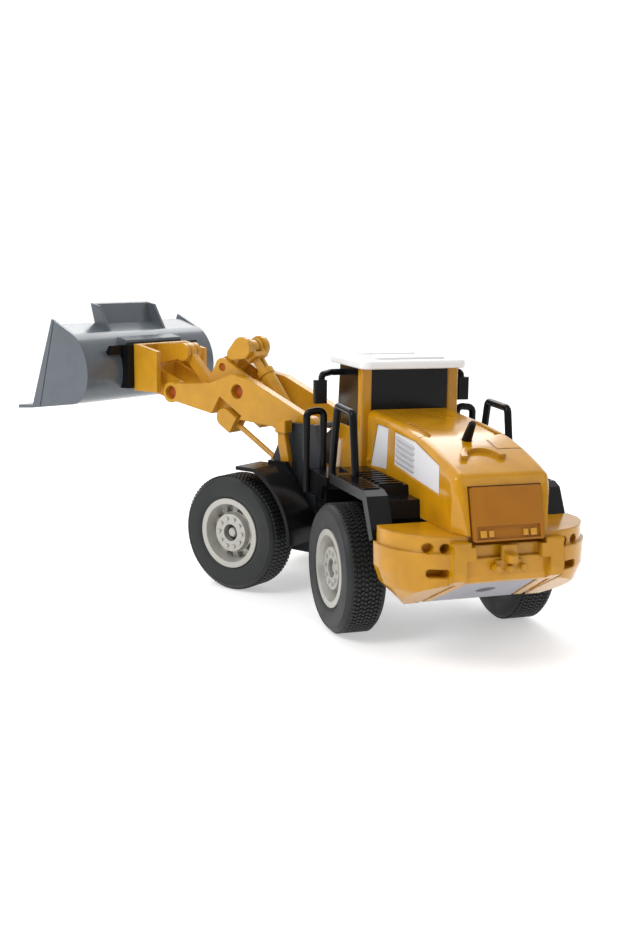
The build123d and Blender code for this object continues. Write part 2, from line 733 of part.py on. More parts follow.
with BuildPart() as arm_pivot_pin:
    with BuildSketch(at_y(TOWER_OUTER_Y)):
        with Locations(ARM_PIVOT):
            Circle(PIVOT_RADIUS)
    extrude(amount=2 * TOWER_OUTER_Y)
    for head_y in (TOWER_OUTER_Y + 0.6, -TOWER_OUTER_Y):
        with BuildSketch(at_y(head_y)):
            with Locations(ARM_PIVOT):
                Circle(2.0)
        extrude(amount=0.6)
front["arm_pivot_pin"] = arm_pivot_pin.part

FENDER_INNER_Y = 26.0
FRONT_FENDER_OUTER_Y = 42.8
with BuildPart() as left_front_fender:
    with BuildSketch(at_y(FRONT_FENDER_OUTER_Y)):
        with BuildLine():
            Line((47, 54.8), (37, 54.8))
            ThreePointArc((37, 54.8), (23.6, 43.4), (17.8, 24.0))
            Line((17.8, 24.0), (19.4, 24.0))
            ThreePointArc((19.4, 24.0), (25.0, 42.6), (37.6, 53.2))
            Line((37.6, 53.2), (47, 53.2))
            Line((47, 53.2), (47, 54.8))
        make_face()
    extrude(amount=FRONT_FENDER_OUTER_Y - FENDER_INNER_Y)
    with BuildSketch(at_y(FENDER_INNER_Y + 0.6)):
        with BuildLine():
            Polyline((19.4, 26.0), (20.4, 34.0), (34, 34.0), (34, 26.0), close=True)
        make_face()
    extrude(amount=FENDER_INNER_Y + 0.6 - TOWER_OUTER_Y)
    with BuildSketch(at_y(FENDER_INNER_Y + 1.0)):
        with BuildLine():
            Polyline((19.4, 26.0), (22.4, 40), (28, 49.5), (33.0, 56.0), (42, 56.0))
            Polyline((42, 56.0), (42, 53.6), (36, 52), (23, 30), (19.4, 26.0))
        make_face()
    extrude(amount=2.6)
front["left_front_fender"] = left_front_fender.part

HEADLIGHT_X = 37.0
HEADLIGHT_Y = 22.6
with BuildPart() as left_headlight:
    with BuildSketch(at_y(FENDER_INNER_Y - 1.6)):
        with BuildLine():
            FilletPolyline(
                (33.0, 50.6),
                (32.8, 57.0),
                (34.2, 63.5),
                (35.2, 68.4),
                (38.9, 68.4),
                (38.7, 63.0),
                (37.2, 57.0),
                (37.0, 50.6),
                radius=0.8,
                close=True,
            )
        make_face()
    extrude(amount=2.6)
    with BuildSketch(Plane.XY.offset(68.0)):
        with Locations((HEADLIGHT_X, HEADLIGHT_Y)):
            RectangleRounded(5.6, 5.4, 0.6)
    extrude(amount=5.5)
    with BuildSketch(Plane.YZ.offset(HEADLIGHT_X + 2.8)):
        with Locations((HEADLIGHT_Y, 70.75)):
            Circle(1.9)
    extrude(amount=0.4)
front["left_headlight"] = left_headlight.part

# ---------------------------------------------------------------- lift arms

TIP_HOLE_RADIUS = 3.2
ELBOW_HOLE_RADIUS = 3.3
ELBOW_RECESS = 2.4
LIFT_PEG_RADIUS = 1.5
LIFT_PEG_OUTER_Y = 13.8
LIFT_LUG_INNER_Y = 9.3
LIFT_LUG_OUTER_Y = 11.3
fork_plane = along(LIFT_HEAD, LIFT_TAIL, LIFT_Y)
FORK_FRONT = 4.6
FORK_REAR = 6.4
FORK_HALF_HEIGHT = 4.1
FORK_OUTER_Y = 15.1
FORK_WIDTH = 8.2
with BuildPart() as left_lift_arm:
    with BuildSketch(at_y(ARM_OUTER_Y)):
        with BuildLine():
            FilletPolyline(
                (29.0, 64.4),
                (46.0, 68.4),
                (82.0, 71.0),
                (107.0, 75.4),
                (108.0, 83.8),
                (87.6, 84.9),
                (73.0, 90.2),
                (62.0, 88.2),
                (28.6, 73.6),
                radius=2.2,
                close=True,
            )
        make_face()
        with Locations(ARM_PIVOT):
            Circle(5.2)
        with Locations(ARM_TIP):
            Circle(4.8)
    extrude(amount=ARM_OUTER_Y - ARM_INNER_Y)
    with BuildSketch(Plane.XZ.offset(-30)):
        with Locations(Location((*LIFT_HEAD, 0), (0, 0, between(LIFT_TAIL, LIFT_HEAD)[1]))):
            with Locations((-0.6, 0.4)):
                Rectangle(FORK_FRONT + FORK_REAR + 4.0, 2 * FORK_HALF_HEIGHT + 4.6)
    extrude(amount=30 - LIFT_LUG_OUTER_Y, mode=Mode.SUBTRACT)
    with BuildSketch(at_y(LIFT_LUG_OUTER_Y)):
        with BuildLine():
            Polyline((74.2, 70.3), (70.0, 78.0), (85.0, 78.0), (80.8, 70.3), close=True)
        make_face()
        with Locations(LIFT_HEAD):
            Circle(3.3)
    extrude(amount=LIFT_LUG_OUTER_Y - LIFT_LUG_INNER_Y)
    with BuildSketch(at_y(30)):
        with Locations(ARM_PIVOT):
            Circle(PIVOT_RADIUS + FIT)
        with Locations(ARM_TIP):
            Circle(TIP_HOLE_RADIUS)
        with Locations(ARM_ELBOW):
            Circle(ELBOW_HOLE_RADIUS)
    extrude(amount=30, mode=Mode.SUBTRACT)
    with BuildSketch(at_y(LIFT_PEG_OUTER_Y)):
        with Locations(LIFT_HEAD):
            Circle(LIFT_PEG_RADIUS)
    extrude(amount=LIFT_PEG_OUTER_Y - 7.2)
front["left_lift_arm"] = left_lift_arm.part

with BuildPart() as arm_cross_tube:
    with BuildSketch(at_y(ARM_OUTER_Y - ELBOW_RECESS)):
        with Locations(ARM_ELBOW):
            Circle(ELBOW_HOLE_RADIUS)
    extrude(amount=2 * (ARM_OUTER_Y - ELBOW_RECESS))
    for lug_y in (7.2, -5.2):
        with BuildSketch(at_y(lug_y)):
            add(strap(ARM_ELBOW, CRANK_PIVOT, 5.2, 4.2))
            with BuildLine():
                Polyline(ARM_ELBOW, CRANK_PIVOT, (88.4, 94.0), (94.2, 85.4), (90.0, 81.4), close=True)
            make_face()
        extrude(amount=2.0)
    with BuildSketch(at_y(20)):
        with Locations(CRANK_PIVOT):
            Circle(1.9)
    extrude(amount=40, mode=Mode.SUBTRACT)
front["arm_cross_tube"] = arm_cross_tube.part

with BuildPart() as arm_rear_tube:
    with BuildSketch(at_y(ARM_INNER_Y)):
        with Locations(TILT_TAIL):
            Circle(2.0)
    extrude(amount=2 * ARM_INNER_Y)
front["arm_rear_tube"] = arm_rear_tube.part

# ---------------------------------------------------------------- bellcrank, link and cylinders

with BuildPart() as bellcrank:
    with BuildSketch(at_y(2.0)):
        add(strap(CRANK_PIVOT, CRANK_TOP, 3.4, 3.4))
    extrude(amount=4.0)
    with BuildSketch(at_y(4.8)):
        add(strap(CRANK_PIVOT, CRANK_FOOT, 4.4, 3.2))
        add(strap(CRANK_PIVOT, (80.2, 96.1), 4.4, 3.0))
    extrude(amount=9.6)
    with BuildSketch(at_y(2.2)):
        with BuildLine():
            Polyline((86.4, 78.4), (94.6, 87.8), (103, 80), (96, 70), close=True)
        make_face()
    extrude(amount=4.4, mode=Mode.SUBTRACT)
    with BuildSketch(at_y(3)):
        with Locations(CRANK_FOOT):
            Circle(1.2)
    extrude(amount=6)
    with BuildSketch(at_y(6.4)):
        with Locations(CRANK_PIVOT):
            Circle(1.85)
    extrude(amount=12.8)
    with BuildSketch(at_y(7.4)):
        with Locations(CRANK_TOP):
            Circle(2.4)
    extrude(amount=14.8)
    for cheek_y in (7.4, -4.8):
        with BuildSketch(at_y(cheek_y)):
            add(strap(CRANK_TOP, (79.2, 98.6), 5.0, 2.6))
        extrude(amount=2.6)
front["bellcrank"] = bellcrank.part

with BuildPart() as coupler_link:
    with BuildSketch(at_y(1.9)):
        add(strap(COUPLER_TOP, CRANK_FOOT, 2.4, 2.4))
        with Locations(COUPLER_TOP):
            Circle(4.2)
        with Locations(CRANK_FOOT):
            Circle(4.8)
        with Locations(COUPLER_TOP):
            Circle(2.0 + FIT, mode=Mode.SUBTRACT)
        with Locations(CRANK_FOOT):
            Circle(1.2 + LINK_SLACK, mode=Mode.SUBTRACT)
    extrude(amount=3.8)
front["coupler_link"] = coupler_link.part

TILT_BARREL_LENGTH = 28.2
TILT_ROD_WIDTH = 4.6
TILT_ROD_HEIGHT = 3.4
TILT_ROD_LENGTH = 28.6
with BuildPart() as tilt_barrel:
    with BuildSketch(along(TILT_TAIL, CRANK_TOP, 0)):
        Circle(3.4)
    extrude(amount=TILT_BARREL_LENGTH)
    with BuildSketch(along(TILT_TAIL, CRANK_TOP, 0).offset(TILT_BARREL_LENGTH - 3.2)):
        Circle(3.9)
    extrude(amount=3.2)
    chamfer(tilt_barrel.edges().filter_by(GeomType.CIRCLE).group_by(SortBy.RADIUS)[-1], 0.35)
    with BuildSketch(along(TILT_TAIL, CRANK_TOP, 0).offset(5.8)):
        Rectangle(TILT_ROD_WIDTH + 2 * FIT, TILT_ROD_HEIGHT + 2 * FIT)
    extrude(amount=30, mode=Mode.SUBTRACT)
    with BuildSketch(at_y(3.6)):
        with Locations(TILT_TAIL):
            Circle(3.6)
    extrude(amount=7.2)
    with BuildSketch(at_y(5)):
        with Locations(TILT_TAIL):
            Circle(2.0 + FIT)
    extrude(amount=10, mode=Mode.SUBTRACT)
front["tilt_barrel"] = tilt_barrel.part

with BuildPart() as tilt_rod:
    with BuildSketch(along(CRANK_TOP, TILT_TAIL, 0).offset(5.4)):
        Rectangle(TILT_ROD_WIDTH, TILT_ROD_HEIGHT)
    extrude(amount=TILT_ROD_LENGTH - 5.4)
    with BuildSketch(along(CRANK_TOP, TILT_TAIL, 0).offset(7.2)):
        Rectangle(1.6, 10)
    extrude(amount=15, mode=Mode.SUBTRACT)
    with BuildSketch(along(CRANK_TOP, TILT_TAIL, 0)):
        Rectangle(8.8, 6.0)
    extrude(amount=6.6)
    with BuildSketch(at_y(4.4)):
        with Locations(CRANK_TOP):
            Circle(3.9)
    extrude(amount=8.8)
    with BuildSketch(at_y(2.25)):
        with Locations(CRANK_TOP):
            Circle(5.2)
    extrude(amount=4.5, mode=Mode.SUBTRACT)
    with BuildSketch(at_y(6)):
        with Locations(CRANK_TOP):
            Circle(2.4 + LIFT_SLACK)
    extrude(amount=12, mode=Mode.SUBTRACT)
front["tilt_rod"] = tilt_rod.part

LIFT_BARREL_LENGTH = 28.6
LIFT_ROD_RADIUS = 1.2
LIFT_ROD_LENGTH = 39.6
with BuildPart() as left_lift_barrel:
    with BuildSketch(along(LIFT_TAIL, LIFT_HEAD, LIFT_Y)):
        Circle(2.8)
    extrude(amount=LIFT_BARREL_LENGTH)
    with BuildSketch(along(LIFT_TAIL, LIFT_HEAD, LIFT_Y).offset(LIFT_BARREL_LENGTH - 2.6)):
        Circle(3.1)
    extrude(amount=2.6)
    with BuildSketch(along(LIFT_TAIL, LIFT_HEAD, LIFT_Y).offset(3.4)):
        Circle(LIFT_ROD_RADIUS + FIT)
    extrude(amount=30, mode=Mode.SUBTRACT)
    with BuildSketch(at_y(LIFT_Y + 2.8)):
        with Locations(LIFT_TAIL):
            Circle(3.2)
    extrude(amount=5.6)
    with BuildSketch(at_y(LIFT_Y + 5)):
        with Locations(LIFT_TAIL):
            Circle(2.0 + FIT)
    extrude(amount=10, mode=Mode.SUBTRACT)
front["left_lift_barrel"] = left_lift_barrel.part

SLOT_RADIUS = 3.3 + LIFT_SLACK + 0.2
with BuildPart() as left_lift_rod:
    with BuildSketch(at_y(FORK_OUTER_Y)):
        with Locations(LIFT_HEAD):
            Circle(FORK_HALF_HEIGHT)
        with Locations(Location((*LIFT_HEAD, 0), (0, 0, between(LIFT_TAIL, LIFT_HEAD)[1]))):
            with Locations((-FORK_REAR / 2, 0)):
                Rectangle(FORK_REAR, 2 * FORK_HALF_HEIGHT)
    extrude(amount=FORK_WIDTH)
    with BuildSketch(fork_plane.offset(FORK_REAR - 0.6)):
        Circle(LIFT_ROD_RADIUS)
    extrude(amount=LIFT_ROD_LENGTH - FORK_REAR)
    with BuildSketch(at_y(LIFT_LUG_OUTER_Y + 0.3)):
        with Locations(LIFT_HEAD):
            Circle(SLOT_RADIUS)
        with Locations(Location((*LIFT_HEAD, 0), (0, 0, between(LIFT_TAIL, LIFT_HEAD)[1]))):
            with Locations((2.5, 2.0)):
                Rectangle(7, 9)
            with Locations((-1, 5.5)):
                Rectangle(15, 8)
    extrude(amount=LIFT_LUG_OUTER_Y - LIFT_LUG_INNER_Y + 0.6, mode=Mode.SUBTRACT)
    with BuildSketch(at_y(LIFT_PEG_OUTER_Y + 0.5)):
        with Locations(LIFT_HEAD):
            Circle(LIFT_PEG_RADIUS + LIFT_SLACK)
    extrude(amount=LIFT_PEG_OUTER_Y + 0.5, mode=Mode.SUBTRACT)
front["left_lift_rod"] = left_lift_rod.part

# ---------------------------------------------------------------- coupler and bucket

EAR_INNER_Y = 7.6
TIP_PEG_OUTER_Y = ARM_OUTER_Y - 2.2
with BuildPart() as quick_coupler:
    with BuildSketch(at_y(17.6)):
        with BuildLine():
            Polyline((116.4, 79.0), (116.2, 98.2), (130, 101.2), (131.2, 101.2), (131.2, 79.0), close=True)
        make_face()
    extrude(amount=35.2)
    with BuildSketch(at_y(15.0)):
        with BuildLine():
            Polyline((100, 70), (100, 110), (128.4, 110), (128.4, 70), close=True)
        make_face()
    extrude(amount=30, mode=Mode.SUBTRACT)
    for ear_y in (10.2, -EAR_INNER_Y):
        with BuildSketch(at_y(ear_y)):
            with BuildLine():
                Polyline(ARM_TIP, (108.5, 83.8), (129, 92), (129, 79.0), (112, 75.0), close=True)
            make_face()
            with Locations(ARM_TIP):
                Circle(4.5)
        extrude(amount=10.2 - EAR_INNER_Y)
    for peg_y in (TIP_PEG_OUTER_Y, -EAR_INNER_Y - 1.0):
        with BuildSketch(at_y(peg_y)):
            with Locations(ARM_TIP):
                Circle(TIP_HOLE_RADIUS - FIT)
        extrude(amount=TIP_PEG_OUTER_Y - EAR_INNER_Y - 1.0)
    for lug_y in (4.6, -2.4):
        with BuildSketch(at_y(lug_y)):
            with BuildLine():
                Polyline(COUPLER_TOP, (112.2, 101.8), (129, 101.0), (129, 91.0), (115, 94.2), close=True)
            make_face()
            with Locations(COUPLER_TOP):
                Circle(4.2)
        extrude(amount=2.2)
    with BuildSketch(at_y(4.6)):
        with Locations(COUPLER_TOP):
            Circle(2.0)
    extrude(amount=9.2)
front["quick_coupler"] = quick_coupler.part

BUCKET_TOP = (158.7, 112.8)
BUCKET_TOE = (174.2, 69.7)
BUCKET_HEEL = (147.0, 73.3)
BUCKET_CREST = (145.2, 106.4)
BUCKET_BACK = (BUCKET_HEEL, (136.9, 79.4), (134.9, 87.6), (136.9, 97.4), (141.3, 103.7), BUCKET_CREST)
BUCKET_BACK_INSIDE = ((146.0, 104.8), (142.7, 102.2), (138.5, 96.4), (136.6, 87.6), (138.4, 80.4), (147.6, 74.9))
ROOF_EDGE = (155.6, 110.3)
CUTTING_EDGE_X = 184.0
GUARD_HALF_WIDTH = 19.5
with BuildSketch(Plane.XY) as bucket_outline:
    with BuildLine():
        Polyline(BUCKET_CREST, BUCKET_TOP, BUCKET_TOE, BUCKET_HEEL)
        Spline(*BUCKET_BACK)
    make_face()

with BuildPart() as bucket:
    with BuildSketch(at_y(BUCKET_HALF_WIDTH)):
        with BuildLine():
            Polyline(BUCKET_CREST, ROOF_EDGE, (155.2, 108.6), BUCKET_BACK_INSIDE[0])
            Spline(*BUCKET_BACK_INSIDE)
            Polyline(BUCKET_BACK_INSIDE[-1], (168.5, 71.6), (CUTTING_EDGE_X, 70.5), (CUTTING_EDGE_X, 68.9))
            Polyline((CUTTING_EDGE_X, 68.9), BUCKET_TOE, BUCKET_HEEL)
            Spline(*BUCKET_BACK)
        make_face()
    extrude(amount=2 * BUCKET_HALF_WIDTH)
    for cheek_y in (BUCKET_HALF_WIDTH, -BUCKET_HALF_WIDTH + BUCKET_WALL):
        with BuildSketch(at_y(cheek_y)):
            add(bucket_outline.sketch)
        extrude(amount=BUCKET_WALL)
    for groove_y in (BUCKET_HALF_WIDTH, -BUCKET_HALF_WIDTH + 0.4):
        with BuildSketch(at_y(groove_y)):
            with BuildLine():
                Polyline((156.6, 113), (157.2, 113), (168.9, 69.4), (168.2, 69.4), close=True)
            make_face()
        extrude(amount=0.4, mode=Mode.SUBTRACT)
    with BuildSketch(at_y(GUARD_HALF_WIDTH)):
        with BuildLine():
            Polyline((153.4, 108.8), (156.8, 119.4), (158.2, 119.8), ROOF_EDGE, close=True)
        make_face()
    extrude(amount=2 * GUARD_HALF_WIDTH)
    for gusset_y in (GUARD_HALF_WIDTH, -GUARD_HALF_WIDTH + 1.4):
        with BuildSketch(at_y(gusset_y)):
            with BuildLine():
                Polyline((145.0, 105.6), (152.4, 118.6), (157.6, 119.6), (154.8, 109.0), close=True)
            make_face()
        extrude(amount=1.4)
    with BuildSketch(at_y(19)):
        with BuildLine():
            Polyline((137.6, 97.6), (134.6, 101.6), (134.8, 102.9), (141.0, 104.2), close=True)
        make_face()
    extrude(amount=38)
front["bucket"] = bucket.part

with BuildPart() as bucket_hanger:
    with BuildSketch(at_y(HANGER_HALF_WIDTH)):
        with BuildLine():
            Polyline((HANGER_REAR_X, 80.2), (HANGER_REAR_X, 100.8), (140.0, 100.8), (140.0, 80.2), close=True)
        make_face()
    extrude(amount=2 * HANGER_HALF_WIDTH)
    with BuildSketch(at_y(30)):
        with BuildLine():
            Polyline((134.0, 96.4), (134.0, 100.8), (141.0, 100.8), (141.0, 96.4), close=True)
        make_face()
    extrude(amount=60)
    with BuildSketch(at_y(40)):
        add(bucket_outline.sketch)
        with BuildLine():
            Polyline((137.6, 97.4), (134.4, 101.6), (134.4, 106), (145, 106), (140, 97), close=True)
        make_face()
    extrude(amount=80, mode=Mode.SUBTRACT)
front["bucket_hanger"] = bucket_hanger.part

# ---------------------------------------------------------------- mirrored right-hand pieces and export

for half in (rear, front):
    for name in [name for name in half if name.startswith("left_")]:
        with BuildPart() as twin:
            mirror(half[name], about=Plane.XZ)
        half[name.replace("left_", "right_", 1)] = twin.part

turned = Location((PIN_X, 0, 0), (0, 0, STEER_ANGLE))
machine = dict(rear)
machine.update({name: turned * part for name, part in front.items()})
box = Compound(children=list(machine.values())).bounding_box()
to_row = Location((-box.center().X, -box.center().Y, -box.min.Z))
row_origin = (round(box.center().X, 4), round(box.center().Y, 4), round(box.min.Z, 4))
print("row origin in machine millimetres", row_origin)
print("row box", box.size)

os.makedirs("parts", exist_ok=True)
for name, part in machine.items():
    with BuildPart() as piece:
        add(to_row * part)
    piece.part.label = name
    export_step(piece.part, f"parts/{name}.step")
print(len(machine), "nodes")
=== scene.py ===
import json
from math import atan2, cos, pi, radians, sin

import bmesh
import bpy
from mathutils import Matrix, Vector


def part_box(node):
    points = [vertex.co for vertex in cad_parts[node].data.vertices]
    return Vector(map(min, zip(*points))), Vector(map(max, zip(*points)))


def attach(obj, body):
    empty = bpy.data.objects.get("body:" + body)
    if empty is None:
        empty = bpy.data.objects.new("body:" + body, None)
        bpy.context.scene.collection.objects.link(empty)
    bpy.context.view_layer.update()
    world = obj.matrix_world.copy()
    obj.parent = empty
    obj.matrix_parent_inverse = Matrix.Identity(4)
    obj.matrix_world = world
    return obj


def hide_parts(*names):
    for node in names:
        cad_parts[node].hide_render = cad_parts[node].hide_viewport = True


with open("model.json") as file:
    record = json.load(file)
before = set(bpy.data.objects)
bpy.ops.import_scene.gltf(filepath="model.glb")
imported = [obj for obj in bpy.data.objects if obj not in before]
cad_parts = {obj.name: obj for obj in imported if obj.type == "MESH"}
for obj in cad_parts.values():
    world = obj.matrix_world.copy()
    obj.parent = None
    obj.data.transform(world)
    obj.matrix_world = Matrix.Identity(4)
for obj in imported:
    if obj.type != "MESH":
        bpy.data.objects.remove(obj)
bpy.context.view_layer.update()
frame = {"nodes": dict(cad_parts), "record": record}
MM = 0.001

# ---------------------------------------------------------------- the two halves' own frames
# Each half has X forward, Y to its left and Z up, in millimetres. The rear half starts under its
# axle, and the front half under the steering pin.


def centre(node):
    low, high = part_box(node)
    return (Vector(low) + Vector(high)) / 2


def joint(name):
    return next(j for j in frame["record"]["behaviour"]["joints"] if j["name"] == name)


rear_origin = centre("rear_axle")
rear_origin.z = 0
pin = Vector(joint("steering")["pos_m"])
pin.z = 0
axle_axis = joint("front_wheels_spin")["axis"]
heading = atan2(-axle_axis[0], axle_axis[1])
to_mm = Matrix.Scale(MM, 4)
REAR = Matrix.Translation(rear_origin) @ to_mm
FRONT = Matrix.Translation(pin) @ Matrix.Rotation(heading, 4, "Z") @ to_mm
SIDES = (("left", 1), ("right", -1))


def at_side(point, sign):
    """A point given for the left side, or its mirror image on the right."""
    x, y, z = point
    return Vector((x, sign * y, z))


# ---------------------------------------------------------------- materials

CLOUD_SCALE = 55.0
SMUDGE_SCALE = 210.0
RELIEF_DEPTH = 0.0003
COAT_ROUGHNESS = 0.08


def new_material(name):
    material = bpy.data.materials.new(name)
    material.use_nodes = True
    return material, material.node_tree, material.node_tree.nodes["Principled BSDF"]


def add_node(tree, kind, **inputs):
    node = tree.nodes.new(kind)
    for key, value in inputs.items():
        node.inputs[key.replace("_", " ")].default_value = value
    return node


def moulded(name, colour, roughness=0.3, variation=0.06, grain=900.0, bump=0.04, flow=0.0, coat=0.0,
            metallic=0.0, shine=0.5, edge=0.35):
    """Moulded plastic: cloudy colour, uneven gloss, a fine surface grain and soft edges."""
    material, tree, shader = new_material(name)
    link = tree.links.new
    place = tree.nodes.new("ShaderNodeTexCoord")
    cloud = add_node(tree, "ShaderNodeTexNoise", Scale=CLOUD_SCALE, Detail=4.0, Distortion=flow)
    link(place.outputs["Object"], cloud.inputs["Vector"])
    ramp = tree.nodes.new("ShaderNodeValToRGB")
    dark, light = ramp.color_ramp.elements
    dark.position = 0.3
    light.position = 0.7
    dark.color = [c * (1 - variation) for c in colour] + [1]
    light.color = [min(1, c * (1 + variation)) for c in colour] + [1]
    link(cloud.outputs["Fac"], ramp.inputs["Fac"])
    link(ramp.outputs["Color"], shader.inputs["Base Color"])
    smudge = add_node(tree, "ShaderNodeTexNoise", Scale=SMUDGE_SCALE, Detail=3.0)
    link(place.outputs["Object"], smudge.inputs["Vector"])
    gloss = add_node(tree, "ShaderNodeMapRange", To_Min=roughness * 0.8, To_Max=roughness * 1.25)
    link(smudge.outputs["Fac"], gloss.inputs["Value"])
    link(gloss.outputs["Result"], shader.inputs["Roughness"])
    fine = add_node(tree, "ShaderNodeTexNoise", Scale=grain, Detail=2.0)
    link(place.outputs["Object"], fine.inputs["Vector"])
    soft = add_node(tree, "ShaderNodeBevel", Radius=edge * MM)
    soft.samples = 4
    relief = add_node(tree, "ShaderNodeBump", Strength=bump, Distance=RELIEF_DEPTH)
    link(fine.outputs["Fac"], relief.inputs["Height"])
    link(soft.outputs["Normal"], relief.inputs["Normal"])
    link(relief.outputs["Normal"], shader.inputs["Normal"])
    shader.inputs["Metallic"].default_value = metallic
    shader.inputs["Specular IOR Level"].default_value = shine
    shader.inputs["Coat Weight"].default_value = coat
    shader.inputs["Coat Roughness"].default_value = COAT_ROUGHNESS
    return material


BODY = moulded("body_yellow", (0.53, 0.245, 0.004), roughness=0.16, variation=0.12,
               flow=1.6, coat=0.2, shine=0.32, edge=1.1)
ARM = moulded("arm_yellow", (0.57, 0.28, 0.016), roughness=0.26, variation=0.08,
              flow=2.5, bump=0.06, coat=0.1, shine=0.35, edge=0.6)
BLACK = moulded("black_plastic", (0.007, 0.007, 0.008), roughness=0.2, variation=0.2,
                bump=0.02, coat=0.04, shine=0.12)
TOWER = moulded("tower_grey", (0.032, 0.036, 0.042), roughness=0.36, variation=0.1, shine=0.3)
WINDOW = moulded("window_black", (0.006, 0.006, 0.007), roughness=0.16, variation=0.15,
                 bump=0.01, coat=0.04, shine=0.16)
ROOF = moulded("roof_white", (0.86, 0.86, 0.86), roughness=0.3, variation=0.02)
PANEL = moulded("panel_grey", (0.70, 0.70, 0.73), roughness=0.42, variation=0.03)
SLAT = moulded("slat_grey", (0.47, 0.47, 0.49), roughness=0.4, variation=0.05)
PLATE = moulded("underside_grey", (0.30, 0.30, 0.34), roughness=0.4, variation=0.06)
SCREW = moulded("screw_dark", (0.06, 0.06, 0.065), roughness=0.4, variation=0.1, metallic=0.6)
BUCKET = moulded("bucket_grey", (0.105, 0.122, 0.14), roughness=0.24, variation=0.08,
                 flow=1.5, coat=0.12, shine=0.4, edge=0.6)
RIM = moulded("rim_grey", (0.45, 0.44, 0.40), roughness=0.3, variation=0.05, bump=0.06, metallic=0.35)
RUBBER = moulded("tyre_rubber", (0.020, 0.021, 0.022), roughness=0.52, variation=0.22,
                 grain=1500.0, bump=0.12, shine=0.35)
STEEL = moulded("steel", (0.55, 0.55, 0.55), roughness=0.3, variation=0.08, metallic=1.0)
LAMP = moulded("lamp_lens", (0.60, 0.28, 0.02), roughness=0.15, variation=0.05, coat=0.6)
DARK = moulded("shadow_gap", (0.10, 0.03, 0.003), roughness=0.5, variation=0.1, shine=0.2)
# Painted shade: a dark red-brown that stands for the shade inside the pin holes.
PIN_SHADE = moulded("pin_hole_shade", (0.34, 0.07, 0.004), roughness=0.4, variation=0.15, shine=0.3)
# Painted shade: a dark grey that stands for the shade inside each hub's centre well.
HUB_SHADE = moulded("hub_recess_shade", (0.06, 0.058, 0.052), roughness=0.5, variation=0.1, shine=0.3)
DOOR = moulded("door_amber", (0.36, 0.130, 0.003), roughness=0.24, variation=0.08,
               flow=1.0, coat=0.25, shine=0.35, edge=0.6)

by_slot = {
    "body_yellow": BODY,
    "arm_yellow": ARM,
    "black_plastic": BLACK,
    "tower_grey": TOWER,
    "window_black": WINDOW,
    "roof_white": ROOF,
    "panel_grey": PANEL,
    "bucket_grey": BUCKET,
    "rim_grey": RIM,
    "tyre": RUBBER,
    "steel": STEEL,
}
own_material = {"underside_plate": PLATE, "underside_screw": SCREW, "rear_door": DOOR}
for entry in frame["record"]["subparts"]:
    node = frame["nodes"][entry["node"]]
    node.data.materials.clear()
    node.data.materials.append(own_material.get(entry["node"]) or by_slot[entry["material_slot"]])

# ---------------------------------------------------------------- mesh building

SHARP_ANGLE = radians(35)
SQUARE = ((-0.5, -0.5), (0.5, -0.5), (0.5, 0.5), (-0.5, 0.5))
RIDGE_SECTIONS = ((0, 0.35), (0.06, 0.85), (0.15, 1), (0.85, 1), (0.94, 0.85), (1, 0.35))
RIDGE_SINK = 0.1


class Shape:
    """A mesh built up from simple forms in one half's own millimetres."""

    def __init__(self):
        self.mesh = bmesh.new()

    def loft(self, rings, capped=True):
        """Joins rings of equal length, each a closed loop of points."""
        loops = [[self.mesh.verts.new(point) for point in ring] for ring in rings]
        count = len(loops[0])
        for first, second in zip(loops, loops[1:]):
            for i in range(count):
                j = (i + 1) % count
                self.mesh.faces.new((first[i], first[j], second[j], second[i]))
        if capped:
            self.mesh.faces.new(loops[0][::-1])
            self.mesh.faces.new(loops[-1])

    def block(self, middle, size, lean=0.0, roll=0.0):
        """A box with its edges along the frame, then rolled about X and leaned about Y."""
        turn = Matrix.Rotation(lean, 3, "Y") @ Matrix.Rotation(roll, 3, "X")
        rings = []
        for z in (-0.5, 0.5):
            ring = [Vector((x * size[0], y * size[1], z * size[2])) for x, y in SQUARE]
            rings.append([turn @ point + Vector(middle) for point in ring])
        self.loft(rings)

    def disc(self, middle, axis, radius, height, sides=24, rounding=0.25):
        """A short cylinder with a rounded far edge, standing on its middle."""
        turn = Vector(axis).normalized().to_track_quat("Z", "Y").to_matrix()
        edge = min(rounding, height * 0.6, radius * 0.6)
        sections = (
            (radius, 0),
            (radius, height - edge),
            (radius - edge * 0.3, height - edge * 0.3),
            (radius - edge, height),
        )
        angles = [2 * pi * i / sides for i in range(sides)]
        rings = []
        for r, h in sections:
            ring = [Vector((r * cos(angle), r * sin(angle), h)) for angle in angles]
            rings.append([turn @ point + Vector(middle) for point in ring])
        self.loft(rings)

    def ridge(self, start, end, width, height, out, sides=8):
        """A half-round bar from start to end that stands out from a surface, with narrowed ends."""
        start, end, out = Vector(start), Vector(end), Vector(out).normalized()
        across = (end - start).cross(out).normalized()
        rings = []
        for part, scale in RIDGE_SECTIONS:
            ring = []
            for i in range(sides + 1):
                angle = pi * i / sides
                lift = out * (height * scale * sin(angle))
                ring.append(start.lerp(end, part) + across * (width / 2 * scale * cos(angle)) + lift)
            ring.append(start.lerp(end, part) - out * RIDGE_SINK)
            rings.append(ring)
        self.loft(rings)

    def finish(self, name, half, body, material, bevel=0.0):
        """Turns the mesh into a piece of the model that rides on a body."""
        self.mesh.normal_update()
        bmesh.ops.recalc_face_normals(self.mesh, faces=self.mesh.faces)
        data = bpy.data.meshes.new(name)
        self.mesh.to_mesh(data)
        self.mesh.free()
        data.transform(half)
        data.materials.append(material)
        piece = bpy.data.objects.new(name, data)
        bpy.context.scene.collection.objects.link(piece)
        if bevel:
            round_over = piece.modifiers.new("round_over", "BEVEL")
            round_over.width = bevel * MM
            round_over.segments = 2
            round_over.limit_method = "ANGLE"
        data.shade_smooth()
        data.set_sharp_from_angle(angle=SHARP_ANGLE)
        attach(piece, body)
        return piece
